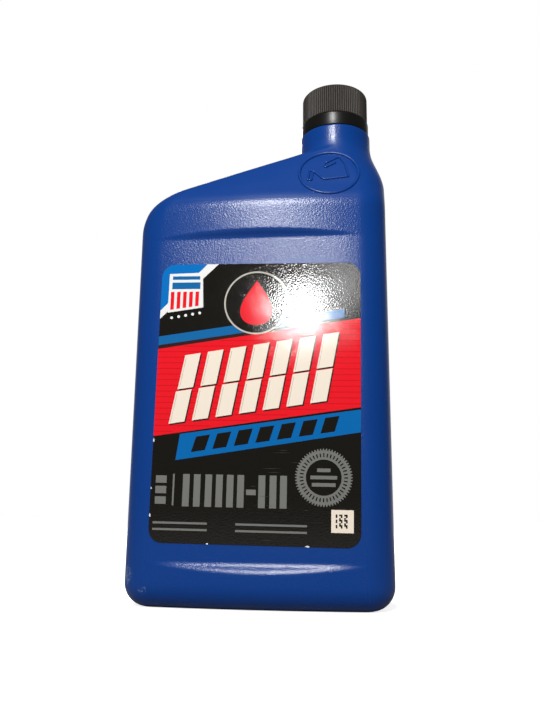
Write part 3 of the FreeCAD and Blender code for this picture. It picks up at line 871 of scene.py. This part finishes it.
# %% Dark bars on the lower band, and the grey rows below it
BAR_STEP = 8.6
STROKE_STARTS = (-28.6, -24.2, -19.6, -15.3, -11.0, -6.8, 1.6, 6.0, 10.1)
STROKE_WIDTH = 2.7
for k in range(7):
    start, foot = -25.9 + BAR_STEP * k, -21.6 + 0.155 * BAR_STEP * k
    add_plate(slanted(start, foot, 5.6, 6.2, slant=0.3), "black", 4)
for k in range(3):
    add_plate(upright(-39.6, -35.2, -42.1 + 4.1 * k, -39.2 + 4.1 * k), "grey", 2)
add_plate(upright(-32.7, -32.0, -42.6, -30.3), "grey", 2)
for start in STROKE_STARTS:
    add_plate(upright(start, start + STROKE_WIDTH, -42.9, -30.3), "grey", 2)
add_plate(upright(-3.2, 0.6, -38.0, -35.9), "grey", 2)
for start, stop in ((-40.0, -18.3), (-7.1, 20.8)):
    for low in (-52.2, -49.7):
        add_plate(upright(start, stop, low, low + 0.8), "grey", 2)

# %% A plain toothed dial
DIAL = np.array([27.1, -30.7])
TOOTH_STEPS = 240
TICKS = 40
teeth = 10.85 + 0.4 * np.where(np.arange(TOOTH_STEPS) % 4 < 2, 1.0, -1.0)
add_ring(DIAL, teeth, 6.95, "grey", 2, count=TOOTH_STEPS)
for half, foot in ((2.6, 2.1), (5.2, -0.7), (4.6, -3.5)):
    low = DIAL[1] + foot
    add_plate(upright(DIAL[0] - half, DIAL[0] + half, low, low + 1.4), "grey", 2)
for out in unit_circle(TICKS):
    side = 0.25 * np.array([-out[1], out[0]])
    near, far = DIAL + 7.9 * out, DIAL + 9.4 * out
    add_plate([near - side, far - side, far + side, near + side], "black", 3)

# %% A pale square of blocks
SQUARE = np.array([34.4, -47.2])
SQUARE_HALF = 4.3
BLOCKS = 8
BLOCK_SIDE = 5.2 / BLOCKS
low_x, low_y = SQUARE - SQUARE_HALF
high_x, high_y = SQUARE + SQUARE_HALF
add_plate(upright(low_x, high_x, low_y, high_y), "cream", 2)
for i in range(BLOCKS):
    for j in range(BLOCKS):
        if (i * i + 2 * j + i * j) % 3 != 1:
            x, y = SQUARE + (np.array([i, j]) - BLOCKS / 2) * BLOCK_SIDE
            add_plate(upright(x, x + BLOCK_SIDE, y, y + BLOCK_SIDE), "black", 3)

# %% White nicks in the film's edge (x, y, length, height) and fine scratches (x, y, length)
NICKS = (
    (21.0, -TOP + 0.2, 1.0, 0.35), (-18.0, -TOP + 0.2, 0.5, 0.3), (LEFT + 0.2, -17.0, 0.3, 0.9),
    (LEFT + 0.2, -36.0, 0.25, 0.5), (LEFT + 0.25, -46.5, 0.35, 0.8),
)
SCRATCHES = (
    (2.0, -27.6, 9.0), (4.5, -29.1, 6.0), (6.5, -21.4, 8.0), (9.0, -20.4, 4.5), (1.5, -38.4, 5.5),
    (4.0, -41.9, 4.0), (3.0, -55.0, 4.5), (14.0, -25.2, 3.5), (-2.0, -34.6, 3.0),
    (19.0, -43.4, 2.5),
)
for x, y, long, high in NICKS:
    nick = [(x - long, y - high / 3), (x + long / 2, y - high), (x + long, y), (x, y + high)]
    add_plate(nick, "white", 6)
for x, y, long in SCRATCHES:
    hair = [(x, y), (x + long * 0.6, y - 0.03), (x + long, y + 0.05), (x + long * 0.5, y + 0.09)]
    add_plate(hair, "scratch", 6)

label_print = link_mesh("label_print", np.vstack(print_points), print_faces)
ink = label_print.data.color_attributes.new("ink", "FLOAT_COLOR", "CORNER")
loops = np.zeros(len(label_print.data.polygons), dtype=int)
label_print.data.polygons.foreach_get("loop_total", loops)
face_colours = np.hstack([np.array(print_colours), np.ones((len(print_colours), 1))])
ink.data.foreach_set("color", np.repeat(face_colours, loops, axis=0).ravel().astype(np.float32))
print("print:", len(print_faces), "faces")

# %% [markdown]
# ## Finishes
# Moulded plastic is never quite even: its gloss wanders a little, and where the mould was
# blasted it carries a fine grain. Both effects come from one node group that every finish
# here uses with its own values, the label's lacquer too. The shaders stay in the materials, so
# that each finish can be read and exported by itself.

# %% A node with its inputs in one call, and the group for moulded grain
WANDER_PER_METRE = 90.0
WANDER_DEPTH = 0.06


def add_node(tree, kind, inputs=(), **settings):
    """Add a shader node and return its outputs.

    Each input, by its name or number, is given as a value or as another node's output."""
    node = tree.nodes.new("ShaderNode" + kind)
    for name, value in settings.items():
        setattr(node, name, value)
    for name, value in dict(inputs).items():
        if isinstance(value, bpy.types.NodeSocket):
            tree.links.new(value, node.inputs[name])
        else:
            node.inputs[name].default_value = value
    return node.outputs


def moulded_grain():
    """Height and roughness of a moulded surface from its place.

    Noise of a few tenths of a millimetre gives the grain, noise of some millimetres lets the
    gloss wander, and a mask says where the mould was blasted."""
    group = bpy.data.node_groups.new("moulded_grain", "ShaderNodeTree")
    group.interface.new_socket(name="Place", in_out="INPUT", socket_type="NodeSocketVector")
    for name, value in (
        ("Mask", 1.0), ("Grain size mm", 0.5), ("Smooth roughness", 0.35),
        ("Grained roughness", 0.5),
    ):
        made = group.interface.new_socket(
            name=name, in_out="INPUT", socket_type="NodeSocketFloat"
        )
        made.default_value = value
    for name in ("Height", "Roughness"):
        group.interface.new_socket(name=name, in_out="OUTPUT", socket_type="NodeSocketFloat")
    given = group.nodes.new("NodeGroupInput").outputs
    result = group.nodes.new("NodeGroupOutput").inputs
    per_metre = add_node(
        group, "Math", {0: 1000.0, 1: given["Grain size mm"]}, operation="DIVIDE"
    )
    grain = add_node(group, "TexNoise", {
        "Vector": given["Place"], "Scale": per_metre[0], "Detail": 1.5, "Roughness": 0.6,
    })
    height = add_node(group, "Math", {0: grain["Fac"], 1: given["Mask"]}, operation="MULTIPLY")
    wander = add_node(group, "TexNoise", {
        "Vector": given["Place"], "Scale": WANDER_PER_METRE, "Detail": 2.0,
    })
    mixed = add_node(group, "Mix", {
        "Factor": given["Mask"], "A": given["Smooth roughness"], "B": given["Grained roughness"],
    })
    wandered = add_node(group, "Math", {
        0: wander["Fac"], 1: WANDER_DEPTH, 2: mixed["Result"],
    }, operation="MULTIPLY_ADD")
    group.links.new(height[0], result["Height"])
    group.links.new(wandered[0], result["Roughness"])
    return group


GRAIN = moulded_grain()


def with_grain(name, smooth, grained, grain_mm, bump_mm, mask=None):
    """A material with the grain group on roughness and bump.

    It comes back with its shader and the place on the piece, for what else it needs."""
    material = bpy.data.materials.new(name)
    material.use_nodes = True
    tree = material.node_tree
    shader = tree.nodes["Principled BSDF"].inputs
    place = add_node(tree, "TexCoord")["Object"]
    values = {
        "Place": place, "Grain size mm": grain_mm,
        "Smooth roughness": smooth, "Grained roughness": grained,
    }
    if mask:
        values["Mask"] = add_node(tree, "Attribute", attribute_name=mask)["Fac"]
    effect = add_node(tree, "Group", values, node_tree=GRAIN)
    bump = add_node(tree, "Bump", {
        "Strength": 1.0, "Distance": bump_mm * MM, "Height": effect["Height"],
    })
    tree.links.new(effect["Roughness"], shader["Roughness"])
    tree.links.new(bump["Normal"], shader["Normal"])
    return material, shader, place


# %% A moulded plastic
SPECKS_PER_METRE = 900.0
PALE_SCUFF = (0.22, 0.32, 0.46)
SCUFF_FROM, SCUFF_TO, SCUFF_STRENGTH = 0.38, 0.55, 0.5


def plastic(name, colour, smooth, grained, grain_mm, bump_mm, mask=None, scuff=None, specular=0.5):
    """A moulded plastic: plain colour, with the grain group on roughness and bump.

    The mask attribute says where it is grained, and the scuff attribute where it is rubbed
    pale in fine specks."""
    material, shader, place = with_grain(name, smooth, grained, grain_mm, bump_mm, mask)
    shader["Base Color"].default_value = (*colour, 1)
    shader["Specular IOR Level"].default_value = specular
    if scuff:
        tree = material.node_tree
        rubbed = add_node(tree, "Attribute", attribute_name=scuff)["Fac"]
        specks = add_node(tree, "TexNoise", {
            "Vector": place, "Scale": SPECKS_PER_METRE, "Detail": 2.0,
        })["Fac"]
        both = add_node(tree, "Math", {0: rubbed, 1: specks}, operation="MULTIPLY")
        amount = add_node(tree, "MapRange", {
            "Value": both[0], "From Min": SCUFF_FROM, "From Max": SCUFF_TO,
            "To Max": SCUFF_STRENGTH,
        })
        paint = add_node(tree, "Mix", {
            "Factor": amount["Result"], "A": (*colour, 1), "B": (*PALE_SCUFF, 1),
        }, data_type="RGBA")
        tree.links.new(paint["Result"], shader["Base Color"])
    return material


# %% [markdown]
# Only the flat front and back between the round corners were blasted, and the neck: the corners
# and the leaning shoulder are smooth. That mask is worked out once for each point of the skin.

# %% Where the bottle is grained
GRAIN_ENDS_ACROSS = (41.0, 47.0)
GRAIN_STARTS_OUT = (22.0, 25.0)
NECK_GRAIN = 0.9
count = len(bottle.data.vertices)
place = np.empty(count * 3)
bottle.data.vertices.foreach_get("co", place)
place = place.reshape(-1, 3) / MM


def fade(value, start, stop):
    """0 before start, 1 after stop, and 3 s^2 - 2 s^3 between."""
    s = np.clip((value - start) / (stop - start), 0, 1)
    return s * s * (3 - 2 * s)


def keep_on_points(name, values):
    """One number for each point of the skin, for its material to read."""
    kept = bottle.data.attributes.new(name, "FLOAT", "POINT")
    kept.data.foreach_set("value", values.astype(np.float32))


across_mask = 1 - fade(np.abs(place[:, 0]), *GRAIN_ENDS_ACROSS)
height_mask = 1 - fade(place[:, 2], CREASE - 1.0, CREASE + 1.0)
depth_mask = fade(np.abs(place[:, 1]), *GRAIN_STARTS_OUT)
neck_mask = NECK_GRAIN * fade(place[:, 2], NECK_ROOT, NECK_FLARE)
keep_on_points("grained", np.maximum(across_mask * height_mask * depth_mask, neck_mask))

# %% Where it is scuffed: rubbed places at the left of the base, as (x, y, z) and reach
SCUFFS = ((-51.0, -22.0, 12.5, 6.0), (-53.5, -16.0, 31.0, 3.5), (-44.0, -27.5, 6.5, 4.0))
rub = np.zeros(count)
for *spot, reach in SCUFFS:
    off = np.linalg.norm(place - np.array(spot), axis=1) / reach
    rub = np.maximum(rub, np.exp(-off**2))
keep_on_points("scuffed", rub)

# %% The plastics, the foam and the label
BLUE = (0.0, 0.044, 0.25)
LACQUER_ROUGHNESS = 0.04
LACQUER_GRAIN_MM = 0.7
LACQUER_BUMP_MM = 0.038
bottle_plastic = plastic(
    "bottle_plastic", BLUE, 0.30, 0.22, 0.65, 0.09, mask="grained", scuff="scuffed", specular=0.45
)
mark_plastic = plastic("mark_plastic", BLUE, 0.30, 0.30, 0.55, 0.01)
cap_plastic = plastic("cap_plastic", (0.033, 0.028, 0.023), 0.40, 0.46, 0.5, 0.05, specular=0.3)
band_plastic = plastic("band_plastic", (0.006, 0.0056, 0.005), 0.26, 0.28, 0.6, 0.01, specular=0.35)
liner_foam = plastic("liner_foam", (0.78, 0.78, 0.75), 0.75, 0.8, 0.3, 0.03)


def label_finish(name, colour=None, attribute=None):
    """Printed film under a thin lacquer that is a little uneven."""
    material, shader, _ = with_grain(
        name, LACQUER_ROUGHNESS, LACQUER_ROUGHNESS, LACQUER_GRAIN_MM, LACQUER_BUMP_MM
    )
    if attribute:
        tree = material.node_tree
        printed = add_node(tree, "Attribute", attribute_name=attribute)["Color"]
        tree.links.new(printed, shader["Base Color"])
    else:
        shader["Base Color"].default_value = (*colour, 1)
    return material


film_material = label_finish("label_film", colour=INKS["black"])
ink_material = label_finish("label_inks", attribute="ink")

# %% [markdown]
# ## Pieces on their bodies
# Each piece now rides on the body that carries it and takes its material, and the solid of the
# frame that it stands for is hidden.

# %% Ride and replace
for piece, material, body, node, slot_name in (
    (bottle, bottle_plastic, "bottle", "bottle", "bottle_plastic"),
    (shoulder_mark, mark_plastic, "bottle", None, "bottle_plastic"),
    (neck_thread, mark_plastic, "bottle", None, "bottle_plastic"),
    (band, band_plastic, "bottle", "tamper_band", "band_plastic"),
    (cap, cap_plastic, "cap", "cap", "cap_plastic"),
    (cap_thread, cap_plastic, "cap", None, "cap_plastic"),
    (liner, liner_foam, "liner", "cap_liner", "liner_foam"),
    (label_film, film_material, "bottle", "front_label", "label_film"),
    (label_print, ink_material, "bottle", None, "label_film"),
):
    piece.data.materials.append(material)
    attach(piece, body)
    if node:
        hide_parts(node)

# %% [markdown]
# ## Floor, light and camera
# The photograph has a plain white ground. The floor looks white to the camera and in
# reflections, but it takes the bottle's soft shadow and sends little light back up, because
# the bottle's underside is dark in the photograph. The world is a white backdrop in the same
# way. For reflections only its far part is white, where a nearly grazing look at the sides
# ends up. The rest is a dim room, which keeps the blue as deep as it is.

# %% Nodes that floor and world share


def blended(tree, share, low, high):
    """low where the share is 0 and high where it is 1; each may be a number or a socket."""
    return add_node(tree, "Mix", {"Factor": share, "A": low, "B": high})["Result"]


def white_share(tree, y_socket, start, stop):
    """How white the ground looks to a ray, with the light path it comes from.

    It is 1 for rays from the camera and through clear pieces. For rays from gloss it rises
    from 0 to 1 while y goes from start to stop, and for all the others it is 0."""
    path = add_node(tree, "LightPath")
    far = add_node(tree, "MapRange", {"Value": y_socket, "From Min": start, "From Max": stop})
    gloss = blended(tree, path["Is Glossy Ray"], 0.0, far["Result"])
    share = path["Is Camera Ray"]
    for other in (path["Is Transmission Ray"], gloss):
        share = add_node(tree, "Math", {0: share, 1: other}, operation="MAXIMUM")[0]
    return path, share


# %% The floor
FLOOR_SEEN = 0.9
FLOOR_UNSEEN = 0.25
FLOOR_GLOW = 0.82
FLOOR_HALF = 1500.0
FLOOR_RAMP = (250.0 * MM, 1100.0 * MM)


def pale_ground():
    """White to the camera and in reflections, with the shadow kept, and greyer otherwise."""
    material = bpy.data.materials.new("pale_ground")
    material.use_nodes = True
    tree = material.node_tree
    tree.nodes.remove(tree.nodes["Principled BSDF"])
    place = add_node(tree, "TexCoord")["Object"]
    behind = add_node(tree, "SeparateXYZ", {0: place})["Y"]
    _, share = white_share(tree, behind, *FLOOR_RAMP)
    matt = add_node(tree, "BsdfDiffuse", {
        "Color": blended(tree, share, FLOOR_UNSEEN, FLOOR_SEEN),
    })
    glow = add_node(tree, "Emission", {"Strength": blended(tree, share, 0.0, FLOOR_GLOW)})
    both = add_node(tree, "AddShader", {0: matt[0], 1: glow[0]})
    tree.links.new(both[0], tree.nodes["Material Output"].inputs["Surface"])
    return material


floor = link_mesh(
    "floor",
    [(-FLOOR_HALF, -FLOOR_HALF, 0), (FLOOR_HALF, -FLOOR_HALF, 0),
     (FLOOR_HALF, FLOOR_HALF, 0), (-FLOOR_HALF, FLOOR_HALF, 0)],
    [[0, 1, 2, 3]],
)
floor.data.materials.append(pale_ground())

# %% The world
FILL_FROM_LEFT = 0.30
FILL_FROM_RIGHT = 0.14
ROOM_IN_GLOSS = 0.08
WORLD_RAMP = (0.6, 0.98)
world = bpy.data.worlds.new("pale_world")
bpy.context.scene.world = world
world.use_nodes = True
tree = world.node_tree
compass = add_node(tree, "TexCoord")["Generated"]
towards = add_node(tree, "SeparateXYZ", {0: compass})
path, share = white_share(tree, towards["Y"], *WORLD_RAMP)
fill = add_node(tree, "MapRange", {
    "Value": towards["X"], "From Min": -1.0,
    "To Min": FILL_FROM_LEFT, "To Max": FILL_FROM_RIGHT,
})
room = blended(tree, path["Is Glossy Ray"], fill["Result"], ROOM_IN_GLOSS)
background = tree.nodes["Background"].inputs
background["Color"].default_value = (1, 1, 1, 1)
tree.links.new(blended(tree, share, room, 1.0), background["Strength"])

# %% The camera
FOCAL_PIXELS = 700.0
PICTURE_HEIGHT = 720.0
CAMERA_PLACE = np.array([34.46, -303.88, 40.66])
yaw, pitch, roll = np.radians([6.03, 11.59, 0.59])


def stand(thing, axes, place):
    """Put a camera or a lamp at a place, with its axes (right, up, back) turned like this."""
    rows = [[*(axis[k] for axis in axes), place[k] * MM] for k in range(3)]
    thing.matrix_world = Matrix(rows + [[0, 0, 0, 1]])
    bpy.context.scene.collection.objects.link(thing)


forward = np.array([
    -math.sin(yaw) * math.cos(pitch), math.cos(yaw) * math.cos(pitch), math.sin(pitch)
])
level_right = np.cross(forward, (0, 0, 1))
level_right /= np.linalg.norm(level_right)
level_up = np.cross(level_right, forward)
right_way = level_right * math.cos(roll) + level_up * math.sin(roll)
up_way = level_up * math.cos(roll) - level_right * math.sin(roll)

camera_data = bpy.data.cameras.new("camera")
camera_data.sensor_fit = "VERTICAL"
camera_data.sensor_height = 36.0
camera_data.lens = FOCAL_PIXELS * camera_data.sensor_height / PICTURE_HEIGHT
camera_data.clip_start = 0.01
camera = bpy.data.objects.new("camera", camera_data)
stand(camera, (right_way, up_way, -forward), CAMERA_PLACE)
bpy.context.scene.camera = camera

# %% [markdown]
# A flat label is a mirror for the lamp: the bright patch lies where the way from the camera to
# the label, bounced off it, runs into the lamp. So the place of the key lamp follows from the
# patch, and a weaker lamp beside it gives the dull glare at the label's upper right. A tall soft
# lamp further up draws the light along the crease, down the neck and on the lower step, and a
# lamp at the rear keeps the back from going dark.

# %% The lamps
LAMP_DISTANCE = 560.0


def area_lamp(name, place, target, width, height, power):
    """An oval lamp at a place in millimetres, turned to face a target."""
    data = bpy.data.lights.new(name, "AREA")
    data.shape = "ELLIPSE"
    data.size = width * MM
    data.size_y = height * MM
    data.energy = power
    lamp = bpy.data.objects.new(name, data)
    away = np.asarray(place, dtype=float) - np.asarray(target, dtype=float)
    away /= np.linalg.norm(away)
    side = np.cross((0, 0, 1), away)
    side /= np.linalg.norm(side)
    stand(lamp, (side, np.cross(away, side), away), place)


def mirrored_place(patch):
    """Where a lamp has to be for its reflection to lie at a patch of the flat label."""
    incoming = (patch - CAMERA_PLACE) / np.linalg.norm(patch - CAMERA_PLACE)
    return patch + incoming * (1, -1, 1) * LAMP_DISTANCE


BRIGHT_PATCH = np.array([17.6, label_front, 119.4])
DIM_PATCH = np.array([35.5, label_front, 130.5])
area_lamp("key", mirrored_place(BRIGHT_PATCH), BRIGHT_PATCH, width=44, height=40, power=0.60)
area_lamp("glare", mirrored_place(DIM_PATCH), DIM_PATCH, width=60, height=80, power=0.10)

SOFT_TARGET = np.array([0.0, -20.0, 130.0])
SOFT_DISTANCE = 900.0
SOFT_AZIMUTH, SOFT_CLIMB = -4.5, 35.5
REAR_PLACE = (-150.0, 750.0, 520.0)
azimuth, climb = math.radians(SOFT_AZIMUTH), math.radians(SOFT_CLIMB)
to_soft = np.array([
    math.sin(azimuth) * math.cos(climb), -math.cos(azimuth) * math.cos(climb), math.sin(climb)
])
soft_place = SOFT_TARGET + to_soft * SOFT_DISTANCE
area_lamp("soft", soft_place, SOFT_TARGET, width=120, height=300, power=6.4)
area_lamp("rear", REAR_PLACE, SOFT_TARGET, width=300, height=300, power=4.0)

# %% Look of the picture
bpy.context.scene.view_settings.view_transform = "Standard"
